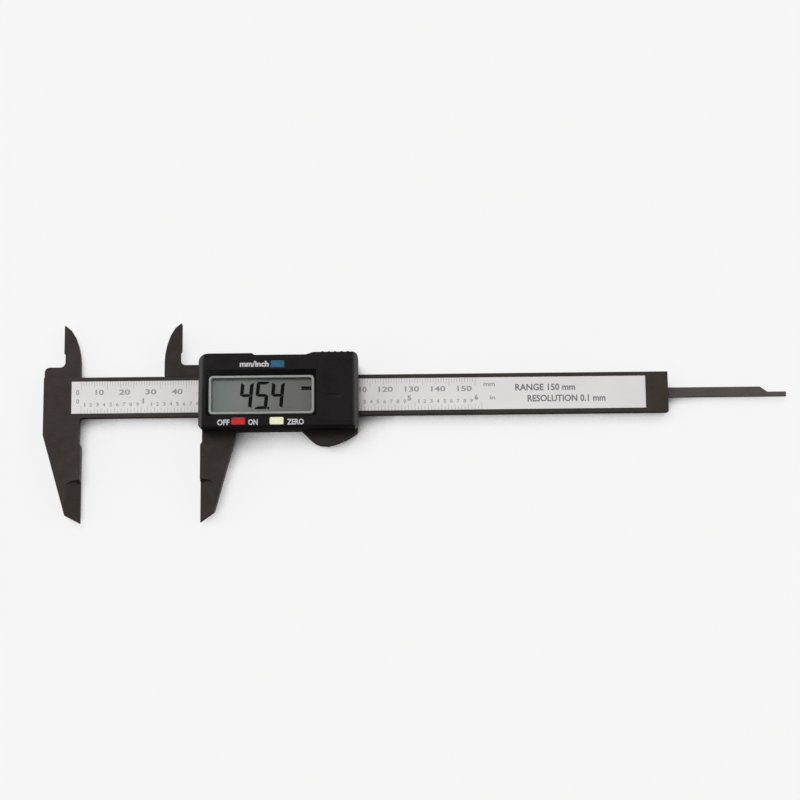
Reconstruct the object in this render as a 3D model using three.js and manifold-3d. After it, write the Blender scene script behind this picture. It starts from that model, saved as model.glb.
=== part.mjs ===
// A 150 mm electronic slide caliper, built as its separate pieces, in millimetres.
// X runs along the beam towards the depth rod, Y towards the inside jaws, and Z out of the display.
// The origin is on the plane of the fixed outside measuring face, on the beam's centreline,
// at the back face of the fixed jaw. The jaws stand open at OPENING.
import * as THREE from "three";
import { mergeVertices } from "three/addons/utils/BufferGeometryUtils.js";
import Module from "manifold-3d";

const wasm = await Module();
wasm.setup();

// ---- Driving dimensions -------------------------------------------------------------------

const OPENING = 45.4;
const RUNNING_GAP = 0.15;
const FIT_GAP = 0.1;
const BOND_GAP = 0.05;
const OVERCUT = 1;
const CURVE_STEPS = 3;
const FINE_STEPS = 5;
const ROUNDING_STEPS = 4;
const ROUND_SIDES = 24;
const SMALL_SIDES = 12;
const SHARP_RADIUS = 0.01;
const MERGE_DISTANCE = 1e-4;

const BEAM = { left: -14.5, right: 223.3, half: 7.7, back: 0.1, front: 4.2 };
const RECESS = { left: -3.8, right: 214.9, half: 6.3, floor: 3.0 };
const CHANNEL = { left: 8, half: 2.05, top: 1.9 };
const BOARD_STRIP = { inset: 0.2, low: 3.05, high: 3.8 };
const LABEL = { inset: 0.1, low: 3.85, high: 4.05 };

// Outside jaws: depth is measured from the measuring face into the jaw, along X.
const JAW = {
  thickness: 4.2, tipY: -47.9, shoulderY: -14.3, reliefY: -18.6, reliefSlope: 1.2, rootRadius: 1.8,
};
const FIXED_JAW = { depth: 14.3, heelDepth: 5.5, heelY: -45.0, relief: 0.85, padRight: 7 };
const MOVING_JAW = { depth: 13.6, heelDepth: 5.5, heelY: -43.9, relief: 0.7, footRadius: 1.2 };
// An outside jaw is thinned below a curved wall, whose foot stands out by lean for each unit of depth.
const EDGE_GRIND = {
  depth: 5.6, startY: -31.4, endY: -34.1, curveDepth: 4.7, edgeHeight: 1.3, lean: 0.45,
};

// Inside jaws: depth is measured from the measuring face into the nib, along X.
const NIB = {
  faceX: -7.15, depth: 6.6, tipY: 28.2, sideY: 13.4, reliefY: 17.5, relief: 0.5,
  reliefSlope: 0.5, rootRadius: 2, plateY: 12.15, cornerRadius: 2, backLayer: 2.0, frontLayer: 2.2,
};
// The nib's curved back: the two points that steer it and the point where it ends.
const NIB_CURVE = { sideY: 18.2, toeX: 4.5, toeY: 26.5, endX: 0.4, endY: 28.4 };

const ROD = {
  start: 64, half: 1.9, low: 0.3, high: 1.75, tipLength: 7.2, slopeLength: 2.7, tipWidth: 1.8,
};
const ROD_PEG = { left: 66, right: 74, half: 1.2, low: -1.5 };

const FRAME = {
  left: 46.3, right: 105.2, bottom: -13.3, top: 13.9, back: -1.7, wallFront: -0.1, front: 4.3,
  cornerRadius: 1.5,
};
const GIB = {
  left: 49, right: 102.5, meanY: 8.35, wave: 0.4, waves: 2, thickness: 0.3, low: 0.5, high: 3.7,
  steps: 32,
};
const GIB_SLOT = { left: 48.4, right: 103.1, depthY: 9.0, low: 0.4, high: 3.8 };
const THUMB = {
  left: 83.6, footY: -13.2, toeX: 93.4, toeY: -19.05, backX: 100.5, backY: -17.6,
  endX: 105.2, endY: -13.8, teeth: 10, toothDepth: 0.35,
};
// How far the thumb rest's leading curve runs on from its foot, and into its toe.
const THUMB_CURVE = { footX: 2.6, footY: 2.0, toeX: 4.8, toeY: 0.9 };

const HOUSING = {
  left: 45.3, right: 105.6, bottom: -13.5, low: 4.4, front: 12.5, edgeRound: 1.0, endRound: 2.5,
  topLeftY: 15.1, topMiddleY: 14.4, topRightY: 15.3, stepX: 65.5, stepRun: 1, riseX: 86, riseRun: 2.6,
  topLeftRadius: 3.7, topRightRadius: 2.3, chamfer: 1.3,
};
const CAVITY = { left: 47.4, right: 89.4, bottom: -12.65, top: 13.4, high: 11.2 };
const BAY = { left: 90, wall: 0.9, bottom: -11.5, top: 12.1, floor: 4.95 };
const BAY_PASSAGE = { bottom: -2.4, top: 5.0, high: 6.4 };
const RIDGES = { count: 5, firstX: 92.2, pitch: 2.4, radius: 0.55, rise: 0.3 };
const PANEL = { left: 48.3, bottom: -9.0, top: 8.6, depth: 0.5, radius: 0.8 };
const BEZEL = {
  left: 49.4, right: 89.1, bottom: -8.4, top: 6.35, border: 1.0, low: 10.95, high: 12.35,
};
const BEZEL_RADIUS = { outer: 1.5, inner: 0.7 };
const WINDOW = { low: 11.1, high: 11.6 };
const LCD = { left: 49.6, right: 88.9, bottom: -8.25, top: 6.2, low: 9.1, high: 10.85 };

const MAIN_BOARD = { left: 47.6, right: 89.2, bottom: -12.5, top: 13.2, low: 4.6, high: 5.6 };
const BOARD_NOTCH = { right: 53.2, reach: 7.9 };
const ZEBRA = { left: 52, right: 85.5, width: 2, upperY: 5.0, lowerY: -6.8 };
const CHIP = { x: 69, y: -0.8, radius: 4.2, height: 1.5 };
const CAPACITOR = { x: 80, y: -2, length: 3.2, width: 1.6, height: 1.5 };

const BATTERY = {
  x: 97.6, y: 0.5, radius: 5.8, low: 5.25, high: 10.65, capRadius: 4.4, capHeight: 0.5, chamfer: 0.3,
};
const CRADLE = { inner: 6.1, outer: 7.0, high: 8.2, left: 93.6, right: 102.4 };
const CONTACT = { thickness: 0.15, footX: 86, width: 2 };
const MINUS_CONTACT = { lift: 0.02, stepLeft: 89.5, stepRight: 91.4, bend: 0.1, right: 100.6 };
const PLUS_CONTACT = { legX: 91.2, kneeX: 92.1, kneeZ: 8.4, tipX: 91.7, tipZ: 9.8, bottom: 2.4 };
const COVER = { left: 90.1, plateLow: 11.15, endWall: 1.3, endLow: 5.1, legWidth: 0.8, tongue: 0.6 };
const COVER_RAIL = { low: 9.7, high: 10.5 };
const COVER_ARROW = {
  left: 94, right: 100, y: -1.2, half: 0.95, shaftHalf: 0.28, headLength: 2.2, depth: 0.3,
};

const BUTTON = { length: 5.2, width: 2.8, top: 12.85, radius: 0.5, edge: 0.25, roughness: 0.4 };
const BUTTON_FLANGE = { length: 6.4, width: 3.0, low: 10.3, high: 11.1 };
const BUTTON_STEM = { radius: 0.9, low: 6.9 };
const DOME = { radius: 1.4, height: 0.55 };
// Half sections from the axis outwards, as shares of a radius and a height.
const CHIP_PROFILE = [[0, 0], [1, 0], [0.92, 0.5], [0.7, 0.85], [0.35, 1], [0, 1]];
const DOME_PROFILE = [[0, 0], [1, 0], [0.75, 0.7], [0.4, 1], [0, 1]];
const BUTTONS = [
  { name: "power", x: 60.6, y: -11.05, colour: 0xc62f2c },
  { name: "zero", x: 75.0, y: -11.05, colour: 0xf0edbe },
  { name: "unit", x: 75.3, y: 10.6, colour: 0x2f78b4 },
];

const HOUSING_SCREW = { headRadius: 1.6, headLow: -1.55, headHigh: -0.6, shankRadius: 0.75, tip: 8.8 };
const HOUSING_SCREWS = [
  { name: "front_upper", x: 50.6, y: 10.6, bossHigh: 11.3 },
  { name: "front_lower", x: 50.6, y: -10.2, bossHigh: 11.3 },
  { name: "rear_upper", x: 101.3, y: 10.6, bossHigh: 9.4 },
  { name: "rear_lower", x: 101.3, y: -10.2, bossHigh: 9.4 },
];
const BOSS_RADIUS = 1.9;
const BOARD_SCREW = { headRadius: 1.35, headLow: 3.95, headHigh: 4.5, shankRadius: 0.5, tip: 9.5 };
const BOARD_SCREWS = [
  { name: "upper", x: 60.4, y: 10.8 },
  { name: "lower", x: 67.8, y: -10.4 },
];
const BOARD_BOSS_RADIUS = 1.5;
// A screw head's crown and cross recess, as shares of the head's radius and height.
const SCREW_HEAD = { crownRadius: 0.8, crownHeight: 0.4, crossHalf: 0.6, armHalf: 0.15, crossDepth: 0.5 };

const STOP = { left: 215, right: 223.0, half: 6.2, low: -0.85, high: 0.05, radius: 0.8 };
const STOP_SCREW = { x: 219.0, y: 4.4, headRadius: 1.5, headLow: -1.45, shankRadius: 0.7, tip: 2.8 };

// ---- Materials ----------------------------------------------------------------------------

function material(colour, roughness, metalness = 0) {
  return new THREE.MeshStandardMaterial({ color: colour, roughness, metalness });
}

const composite = material(0x3a3532, 0.55);
const housingPlastic = material(0x262325, 0.45);
const labelFilm = material(0xdedadc, 0.4);
const circuitBoard = material(0x1f5a38, 0.5);
const silverPlastic = material(0xa6aaa8, 0.35, 0.3);
const clearPlastic = new THREE.MeshStandardMaterial({
  color: 0xe8eeee,
  roughness: 0.05,
  transparent: true,
  opacity: 0.3,
});
const displayGlass = material(0x7b847d, 0.3);
const elastomer = material(0xb9a9a4, 0.8);
const epoxy = material(0x151515, 0.4);
const ceramicChip = material(0xb08a5c, 0.5);
const springSteel = material(0xb9bbbc, 0.3, 1);
const batterySteel = material(0xc6c8ca, 0.25, 1);
const screwSteel = material(0x8d8f92, 0.35, 1);

// ---- Solids -------------------------------------------------------------------------------

// A closed three.js geometry as a solid that can be joined and cut.
function solid(geometry) {
  const bare = geometry.clone();
  bare.deleteAttribute("normal");
  bare.deleteAttribute("uv");
  const merged = mergeVertices(bare, MERGE_DISTANCE);
  const mesh = new wasm.Mesh({
    numProp: 3,
    vertProperties: merged.attributes.position.array,
    triVerts: new Uint32Array(merged.index.array),
  });
  return new wasm.Manifold(mesh);
}

// A solid as a named mesh.
function piece(name, look, body) {
  const made = body.getMesh();
  const geometry = new THREE.BufferGeometry();
  geometry.setAttribute("position", new THREE.BufferAttribute(made.vertProperties, made.numProp));
  geometry.setIndex(new THREE.BufferAttribute(made.triVerts, 1));
  geometry.computeVertexNormals();
  const mesh = new THREE.Mesh(geometry, look);
  mesh.name = name;
  return mesh;
}

// A flat outline raised from low to high along Z.
function slab(shape, low, high, steps = CURVE_STEPS) {
  const geometry = new THREE.ExtrudeGeometry(shape, {
    depth: high - low,
    bevelEnabled: false,
    curveSegments: steps,
  });
  geometry.translate(0, 0, low);
  return solid(geometry);
}

// The same with its edges at both ends rounded by edge, inside the outline.
function softSlab(shape, low, high, edge, roundSteps = 2, steps = CURVE_STEPS) {
  const geometry = new THREE.ExtrudeGeometry(shape, {
    depth: high - low - 2 * edge,
    bevelEnabled: true,
    bevelThickness: edge,
    bevelSize: edge,
    bevelOffset: -edge,
    bevelSegments: roundSteps,
    curveSegments: steps,
  });
  geometry.translate(0, 0, low + edge);
  return solid(geometry);
}

// An outline in X and Z, run along Y from bottom to top.
function prismAlongY(shape, bottom, top) {
  const geometry = new THREE.ExtrudeGeometry(shape, {
    depth: top - bottom,
    bevelEnabled: false,
    curveSegments: FINE_STEPS,
  });
  geometry.rotateX(Math.PI / 2);
  geometry.translate(0, top, 0);
  return solid(geometry);
}

function block(left, right, bottom, top, low, high) {
  const geometry = new THREE.BoxGeometry(right - left, top - bottom, high - low);
  geometry.translate((left + right) / 2, (bottom + top) / 2, (low + high) / 2);
  return solid(geometry);
}

// An upright cylinder.
function post(x, y, radius, low, high, sides = SMALL_SIDES) {
  const geometry = new THREE.CylinderGeometry(radius, radius, high - low, sides);
  geometry.rotateX(Math.PI / 2);
  geometry.translate(x, y, (low + high) / 2);
  return solid(geometry);
}

// A turned body: profile points are radius and height, from the axis back to the axis.
function turned(x, y, low, profile, sides = ROUND_SIDES) {
  const points = profile.map(([radius, height]) => new THREE.Vector2(radius, height));
  const geometry = new THREE.LatheGeometry(points, sides);
  geometry.rotateX(Math.PI / 2);
  geometry.translate(x, y, low);
  return solid(geometry);
}

// A half section drawn in shares, at its real radius and height.
function scaled(profile, radius, height) {
  return profile.map(([across, up]) => [across * radius, up * height]);
}

function outline(points) {
  return new THREE.Shape(points.map(([x, y]) => new THREE.Vector2(x, y)));
}

function roundedRectangle(left, right, bottom, top, radius) {
  const shape = new THREE.Shape();
  const quarter = Math.PI / 2;
  shape.absarc(right - radius, bottom + radius, radius, -quarter, 0);
  shape.absarc(right - radius, top - radius, radius, 0, quarter);
  shape.absarc(left + radius, top - radius, radius, quarter, 2 * quarter);
  shape.absarc(left + radius, bottom + radius, radius, 2 * quarter, 3 * quarter);
  return shape;
}

// A shape drawn as depth and Y, placed with depth 0 at faceX and depth growing towards direction.
function placed(shape, faceX, direction) {
  const points = shape.getPoints(FINE_STEPS);
  return new THREE.Shape(points.map((p) => new THREE.Vector2(faceX + direction * p.x, p.y)));
}

// ---- Jaws shared by the beam and the slider -----------------------------------------------

// The outside jaw up to topY, relieved between the measuring face and the beam.
function outsideJaw(jaw, faceX, direction, topY) {
  const shape = outline([
    [jaw.depth, topY],
    [jaw.depth, JAW.shoulderY],
    [jaw.heelDepth, jaw.heelY],
    [0, JAW.tipY],
    [0, JAW.reliefY],
    [jaw.relief, JAW.reliefY + JAW.reliefSlope],
    [jaw.relief, topY],
  ]);
  return slab(placed(shape, faceX, direction), 0, JAW.thickness).subtract(edgeGrind(faceX, direction));
}

// The hollow round that joins a jaw's side at cornerX to the edge above it at cornerY.
function rootFillet(cornerX, cornerY, radius, direction) {
  const shape = new THREE.Shape();
  shape.moveTo(-radius / 2, radius / 2);
  shape.lineTo(radius, radius / 2);
  shape.lineTo(radius, 0);
  shape.absarc(radius, -radius, radius, Math.PI / 2, Math.PI, false);
  shape.lineTo(-radius / 2, -radius);
  return slab(placed(shape, cornerX, direction), 0, JAW.thickness).translate([0, cornerY, 0]);
}

// The wedge ground off the front of an outside jaw, which leaves a thin measuring edge.
function edgeGrind(faceX, direction) {
  const plan = new THREE.Shape();
  plan.moveTo(-OVERCUT, JAW.tipY - OVERCUT);
  plan.lineTo(-OVERCUT, EDGE_GRIND.startY);
  plan.lineTo(0, EDGE_GRIND.startY);
  plan.quadraticCurveTo(
    EDGE_GRIND.curveDepth, EDGE_GRIND.startY, EDGE_GRIND.depth, EDGE_GRIND.endY,
  );
  plan.lineTo(EDGE_GRIND.depth, JAW.tipY - OVERCUT);
  const section = new THREE.Shape();
  section.moveTo(EDGE_GRIND.depth, JAW.thickness);
  section.lineTo(EDGE_GRIND.depth, JAW.thickness + OVERCUT);
  section.lineTo(-OVERCUT, JAW.thickness + OVERCUT);
  section.lineTo(-OVERCUT, EDGE_GRIND.edgeHeight);
  section.lineTo(0, EDGE_GRIND.edgeHeight);
  const top = EDGE_GRIND.startY + OVERCUT;
  const wedge = prismAlongY(placed(section, faceX, direction), JAW.tipY - OVERCUT, top);
  const lean = EDGE_GRIND.lean;
  const wall = slab(placed(plan, faceX, direction), 0, JAW.thickness + OVERCUT)
    .transform([1, 0, 0, 0, 0, 1, 0, 0, 0, lean, 1, 0, 0, -lean * JAW.thickness, 0, 1]);
  return wall.intersect(wedge);
}

// The inside nib with the plate that carries it, which ends at plateEnd, a depth below 0.
function insideNib(faceX, direction, plateEnd, rootY, cornerRadius, low, high) {
  const shape = new THREE.Shape();
  shape.moveTo(NIB.depth, rootY);
  shape.lineTo(NIB.depth, NIB.sideY);
  shape.bezierCurveTo(
    NIB.depth, NIB_CURVE.sideY, NIB_CURVE.toeX, NIB_CURVE.toeY, NIB_CURVE.endX, NIB_CURVE.endY,
  );
  shape.lineTo(0, NIB.tipY);
  shape.lineTo(0, NIB.reliefY);
  shape.lineTo(NIB.relief, NIB.reliefY - NIB.reliefSlope);
  const rootCentre = NIB.relief - NIB.rootRadius;
  shape.absarc(rootCentre, NIB.plateY + NIB.rootRadius, NIB.rootRadius, 0, -Math.PI / 2, true);
  const cornerX = plateEnd + cornerRadius;
  shape.absarc(cornerX, NIB.plateY - cornerRadius, cornerRadius, Math.PI / 2, Math.PI, false);
  shape.lineTo(plateEnd, rootY);
  return slab(placed(shape, faceX, direction), low, high);
}

// ---- Beam ---------------------------------------------------------------------------------

function beam() {
  const plateEnd = BEAM.left - NIB.faceX;
  const bar = block(-FIXED_JAW.relief, BEAM.right, -BEAM.half, BEAM.half, BEAM.back, BEAM.front);
  const jaw = outsideJaw(FIXED_JAW, 0, -1, BEAM.half)
    .add(rootFillet(-FIXED_JAW.relief, -BEAM.half, JAW.rootRadius, 1))
    .add(block(-FIXED_JAW.relief - OVERCUT, FIXED_JAW.padRight, -BEAM.half, BEAM.half, 0, JAW.thickness));
  const nib = insideNib(NIB.faceX, 1, plateEnd, 0, NIB.cornerRadius, BEAM.back, NIB.backLayer);
  const recess = block(
    RECESS.left, RECESS.right, -RECESS.half, RECESS.half, RECESS.floor, BEAM.front + OVERCUT,
  );
  const channel = block(
    CHANNEL.left, BEAM.right + OVERCUT, -CHANNEL.half, CHANNEL.half, BEAM.back - OVERCUT, CHANNEL.top,
  );
  let body = bar.add(jaw).add(nib).subtract(recess).subtract(channel);
  for (const side of [-1, 1]) {
    body = body.subtract(stopScrewHole(side, BEAM.back - OVERCUT, STOP_SCREW.tip + FIT_GAP));
  }
  return piece("beam", composite, body);
}

function stopScrewHole(side, low, high) {
  return post(STOP_SCREW.x, side * STOP_SCREW.y, STOP_SCREW.shankRadius + FIT_GAP, low, high);
}

// A flat strip that fills the beam's front recess.
function strip(name, look, part) {
  const half = RECESS.half - part.inset;
  const left = RECESS.left + part.inset;
  const right = RECESS.right - part.inset;
  return piece(name, look, block(left, right, -half, half, part.low, part.high));
}

function endStopPlate() {
  const shape = roundedRectangle(STOP.left, STOP.right, -STOP.half, STOP.half, STOP.radius);
  let body = slab(shape, STOP.low, STOP.high);
  for (const side of [-1, 1]) {
    body = body.subtract(stopScrewHole(side, STOP.low - OVERCUT, STOP.high + OVERCUT));
  }
  return piece("end_stop_plate", springSteel, body);
}

// A screw whose head is at the back, with a cross recess in the head.
function screw(x, y, headRadius, headLow, headHigh, shankRadius, tip) {
  const headHeight = headHigh - headLow;
  const long = headRadius * SCREW_HEAD.crossHalf;
  const short = headRadius * SCREW_HEAD.armHalf;
  const crossLow = headLow - OVERCUT;
  const crossHigh = headLow + headHeight * SCREW_HEAD.crossDepth;
  const body = turned(x, y, headLow, [
    [0, 0],
    [headRadius * SCREW_HEAD.crownRadius, 0],
    [headRadius, headHeight * SCREW_HEAD.crownHeight],
    [headRadius, headHeight],
    [shankRadius, headHeight],
    [shankRadius, tip - headLow - shankRadius],
    [0, tip - headLow],
  ], SMALL_SIDES);
  const across = block(x - long, x + long, y - short, y + short, crossLow, crossHigh);
  const along = block(x - short, x + short, y - long, y + long, crossLow, crossHigh);
  return body.subtract(across).subtract(along);
}

function endStopScrew(name, side) {
  const s = STOP_SCREW;
  const body = screw(s.x, side * s.y, s.headRadius, s.headLow, STOP.low - BOND_GAP, s.shankRadius, s.tip);
  return piece(name, screwSteel, body);
}

// ---- Slider frame, with the moving jaws ---------------------------------------------------

// The thumb rest: a smooth leading edge down to the toe, then a toothed edge back up.
function thumbRest() {
  const shape = new THREE.Shape();
  shape.moveTo(THUMB.left, THUMB.footY);
  shape.bezierCurveTo(
    THUMB.left + THUMB_CURVE.footX, THUMB.footY - THUMB_CURVE.footY,
    THUMB.toeX - THUMB_CURVE.toeX, THUMB.toeY - THUMB_CURVE.toeY,
    THUMB.toeX, THUMB.toeY,
  );
  const notches = new THREE.QuadraticBezierCurve(
    new THREE.Vector2(THUMB.toeX, THUMB.toeY),
    new THREE.Vector2(THUMB.backX, THUMB.backY),
    new THREE.Vector2(THUMB.endX, THUMB.endY),
  ).getPoints(THUMB.teeth);
  for (let tooth = 1; tooth <= THUMB.teeth; tooth++) {
    const from = notches[tooth - 1];
    const to = notches[tooth];
    const crownY = (from.y + to.y) / 2 - 2 * THUMB.toothDepth;
    shape.quadraticCurveTo((from.x + to.x) / 2, crownY, to.x, to.y);
  }
  shape.lineTo(THUMB.endX, THUMB.footY + OVERCUT);
  shape.lineTo(THUMB.left, THUMB.footY + OVERCUT);
  return slab(shape, FRAME.back, FRAME.front, FINE_STEPS);
}

function sliderFrame() {
  const railFoot = -BEAM.half - RUNNING_GAP;
  const railHead = BEAM.half + RUNNING_GAP;
  const nibFace = NIB.faceX + OPENING;
  const jaw = outsideJaw(MOVING_JAW, OPENING, 1, railFoot)
    .add(rootFillet(OPENING + MOVING_JAW.depth, FRAME.bottom, MOVING_JAW.footRadius, 1));
  const plateEnd = nibFace - FRAME.left - OVERCUT;
  const nib = insideNib(nibFace, -1, plateEnd, railHead, SHARP_RADIUS, NIB.frontLayer, BEAM.front);
  const shape = roundedRectangle(FRAME.left, FRAME.right, FRAME.bottom, FRAME.top, FRAME.cornerRadius);
  const body = slab(shape, FRAME.back, FRAME.front);
  const above = FRAME.front + OVERCUT;
  const passage = block(
    FRAME.left - OVERCUT, FRAME.right + OVERCUT, railFoot, railHead, FRAME.wallFront, above,
  );
  const gibSlot = block(
    GIB_SLOT.left, GIB_SLOT.right, BEAM.half, GIB_SLOT.depthY, GIB_SLOT.low, GIB_SLOT.high,
  );
  const pegSlot = block(
    ROD_PEG.left - FIT_GAP, ROD_PEG.right + FIT_GAP, -ROD_PEG.half - FIT_GAP, ROD_PEG.half + FIT_GAP,
    FRAME.back - OVERCUT, FRAME.wallFront + OVERCUT,
  );
  let made = body.subtract(passage).add(jaw).add(nib).add(thumbRest());
  made = made.subtract(gibSlot).subtract(pegSlot);
  const headRadius = HOUSING_SCREW.headRadius + FIT_GAP;
  const shankRadius = HOUSING_SCREW.shankRadius + FIT_GAP;
  for (const { x, y } of HOUSING_SCREWS) {
    const head = post(x, y, headRadius, FRAME.back - OVERCUT, HOUSING_SCREW.headHigh + BOND_GAP);
    const shank = post(x, y, shankRadius, FRAME.back, above);
    made = made.subtract(head).subtract(shank);
  }
  const pocketRadius = BOARD_SCREW.headRadius + FIT_GAP;
  for (const { x, y } of BOARD_SCREWS) {
    made = made.subtract(post(x, y, pocketRadius, BOARD_SCREW.headLow - FIT_GAP, above));
  }
  return piece("slider_frame", composite, made);
}

function depthRod() {
  const tip = BEAM.right + OPENING;
  const shoulder = tip - ROD.tipLength;
  const tipTop = -ROD.half + ROD.tipWidth;
  const shape = outline([
    [ROD.start, -ROD.half],
    [tip, -ROD.half],
    [tip, tipTop],
    [shoulder, tipTop],
    [shoulder - ROD.slopeLength, ROD.half],
    [ROD.start, ROD.half],
  ]);
  const peg = block(ROD_PEG.left, ROD_PEG.right, -ROD_PEG.half, ROD_PEG.half, ROD_PEG.low, ROD.high);
  return piece("depth_rod", composite, slab(shape, ROD.low, ROD.high).add(peg));
}

// A bowed steel strip that presses on the beam's upper edge.
function gibSpring() {
  const lower = [];
  const upper = [];
  for (let i = 0; i <= GIB.steps; i++) {
    const x = GIB.left + ((GIB.right - GIB.left) * i) / GIB.steps;
    const y = GIB.meanY + GIB.wave * Math.cos((2 * Math.PI * GIB.waves * i) / GIB.steps);
    lower.push([x, y - GIB.thickness / 2]);
    upper.push([x, y + GIB.thickness / 2]);
  }
  const shape = outline([...lower, ...upper.reverse()]);
  return piece("gib_spring", springSteel, slab(shape, GIB.low, GIB.high));
}

function housingScrew(at) {
  const s = HOUSING_SCREW;
  const body = screw(at.x, at.y, s.headRadius, s.headLow, s.headHigh, s.shankRadius, s.tip);
  return piece("housing_screw_" + at.name, screwSteel, body);
}

// ---- Display housing ----------------------------------------------------------------------

function housingOutline() {
  const h = HOUSING;
  const shape = new THREE.Shape();
  shape.moveTo(h.left + h.chamfer, h.bottom);
  shape.lineTo(h.right - h.chamfer, h.bottom);
  shape.lineTo(h.right, h.bottom + h.chamfer);
  const quarter = Math.PI / 2;
  const rightX = h.right - h.topRightRadius;
  shape.absarc(rightX, h.topRightY - h.topRightRadius, h.topRightRadius, 0, quarter, false);
  shape.lineTo(h.riseX + h.riseRun, h.topRightY);
  shape.lineTo(h.riseX, h.topMiddleY);
  shape.lineTo(h.stepX + h.stepRun, h.topMiddleY);
  shape.lineTo(h.stepX, h.topLeftY);
  const leftX = h.left + h.topLeftRadius;
  shape.absarc(leftX, h.topLeftY - h.topLeftRadius, h.topLeftRadius, quarter, 2 * quarter, false);
  shape.lineTo(h.left, h.bottom + h.chamfer);
  return shape;
}

// The housing's side view: square at the back, rounded at both ends of the front.
function housingSideView() {
  const h = HOUSING;
  const back = h.low - OVERCUT;
  const round = h.endRound;
  const shape = new THREE.Shape();
  shape.moveTo(h.left, back);
  shape.lineTo(h.right, back);
  shape.absarc(h.right - round, h.front - round, round, 0, Math.PI / 2, false);
  shape.absarc(h.left + round, h.front - round, round, Math.PI / 2, Math.PI, false);
  return shape;
}

// The housing's outer form, shared by the housing and its battery cover.
function housingBlank() {
  const low = HOUSING.low - 2 * HOUSING.edgeRound;
  const bottom = HOUSING.bottom - OVERCUT;
  const top = HOUSING.topRightY + OVERCUT;
  const left = HOUSING.left - OVERCUT;
  const right = HOUSING.right + OVERCUT;
  const below = block(left, right, bottom, top, low - OVERCUT, HOUSING.low);
  const ends = prismAlongY(housingSideView(), bottom, top);
  return softSlab(housingOutline(), low, HOUSING.front, HOUSING.edgeRound, ROUNDING_STEPS, FINE_STEPS)
    .subtract(below)
    .intersect(ends);
}

function frontHousing() {
  const h = HOUSING;
  const above = h.front + OVERCUT;
  let body = housingBlank();
  const far = h.right + OVERCUT;
  const bayLeft = BAY.left + BAY.wall;
  const ridgeY = h.topRightY + RIDGES.rise - RIDGES.radius;
  for (let i = 0; i < RIDGES.count; i++) {
    const ridgeX = RIDGES.firstX + i * RIDGES.pitch;
    body = body.add(post(ridgeX, ridgeY, RIDGES.radius, h.low, h.front - h.edgeRound));
  }
  body = body.subtract(block(
    CAVITY.left, CAVITY.right, CAVITY.bottom, CAVITY.top, h.low - OVERCUT, CAVITY.high,
  ));
  body = body.subtract(block(bayLeft, far, BAY.bottom, BAY.top, BAY.floor, above));
  body = body.subtract(block(BAY.left, far, BAY.bottom, BAY.top, COVER.plateLow - FIT_GAP, above));
  body = body.subtract(block(
    CAVITY.right - OVERCUT, bayLeft + OVERCUT, BAY_PASSAGE.bottom, BAY_PASSAGE.top,
    BAY.floor, BAY_PASSAGE.high,
  ));
  body = body.subtract(block(
    bayLeft, far, BAY.bottom - COVER.tongue, BAY.top + COVER.tongue,
    COVER_RAIL.low - FIT_GAP, COVER_RAIL.high + FIT_GAP,
  ));
  body = body.subtract(slab(
    roundedRectangle(PANEL.left, BAY.left + PANEL.radius, PANEL.bottom, PANEL.top, PANEL.radius),
    h.front - PANEL.depth, above,
  ));
  body = body.subtract(slab(roundedRectangle(
    BEZEL.left - FIT_GAP, BEZEL.right + FIT_GAP, BEZEL.bottom - FIT_GAP, BEZEL.top + FIT_GAP,
    BEZEL_RADIUS.outer + FIT_GAP,
  ), CAVITY.high - OVERCUT, above));
  for (const at of BUTTONS) {
    body = body.subtract(slab(buttonOutline(at, BUTTON, FIT_GAP), CAVITY.high - OVERCUT, above));
  }
  const holeRadius = HOUSING_SCREW.shankRadius + FIT_GAP;
  for (const { x, y, bossHigh } of HOUSING_SCREWS) {
    const boss = post(x, y, BOSS_RADIUS, h.low, bossHigh);
    const hole = post(x, y, holeRadius, h.low - OVERCUT, HOUSING_SCREW.tip + FIT_GAP);
    body = body.add(boss).subtract(hole);
  }
  const boardHoleRadius = BOARD_SCREW.shankRadius + FIT_GAP;
  for (const { x, y } of BOARD_SCREWS) {
    const boss = post(x, y, BOARD_BOSS_RADIUS, MAIN_BOARD.high + FIT_GAP, CAVITY.high + FIT_GAP);
    const hole = post(x, y, boardHoleRadius, MAIN_BOARD.high, BOARD_SCREW.tip + FIT_GAP);
    body = body.add(boss).subtract(hole);
  }
  return piece("front_housing", housingPlastic, body.add(batteryCradle()));
}

// Two low curved walls that hold the battery sideways, open towards the contacts and the end.
function batteryCradle() {
  const { x, y } = BATTERY;
  const below = BAY.floor - OVERCUT;
  const above = CRADLE.high + OVERCUT;
  const reach = CRADLE.outer + OVERCUT;
  return post(x, y, CRADLE.outer, BAY.floor - BOND_GAP, CRADLE.high, ROUND_SIDES)
    .subtract(post(x, y, CRADLE.inner, below, above, ROUND_SIDES))
    .intersect(block(CRADLE.left, CRADLE.right, y - reach, y + reach, below, above));
}

// The bezel's outer rectangle, brought in by inset all round.
function bezelOutline(inset, radius) {
  return roundedRectangle(
    BEZEL.left + inset, BEZEL.right - inset, BEZEL.bottom + inset, BEZEL.top - inset, radius,
  );
}

function lcdBezel() {
  const inner = bezelOutline(BEZEL.border, BEZEL_RADIUS.inner);
  const opening = slab(inner, BEZEL.low - OVERCUT, BEZEL.high + OVERCUT);
  const body = slab(bezelOutline(0, BEZEL_RADIUS.outer), BEZEL.low, BEZEL.high).subtract(opening);
  return piece("lcd_bezel", silverPlastic, body);
}

function lcdWindow() {
  const shape = bezelOutline(BEZEL.border + BOND_GAP, BEZEL_RADIUS.inner);
  return piece("lcd_window", clearPlastic, slab(shape, WINDOW.low, WINDOW.high));
}

function lcdGlass() {
  const body = block(LCD.left, LCD.right, LCD.bottom, LCD.top, LCD.low, LCD.high);
  return piece("lcd_glass", displayGlass, body);
}

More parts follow.
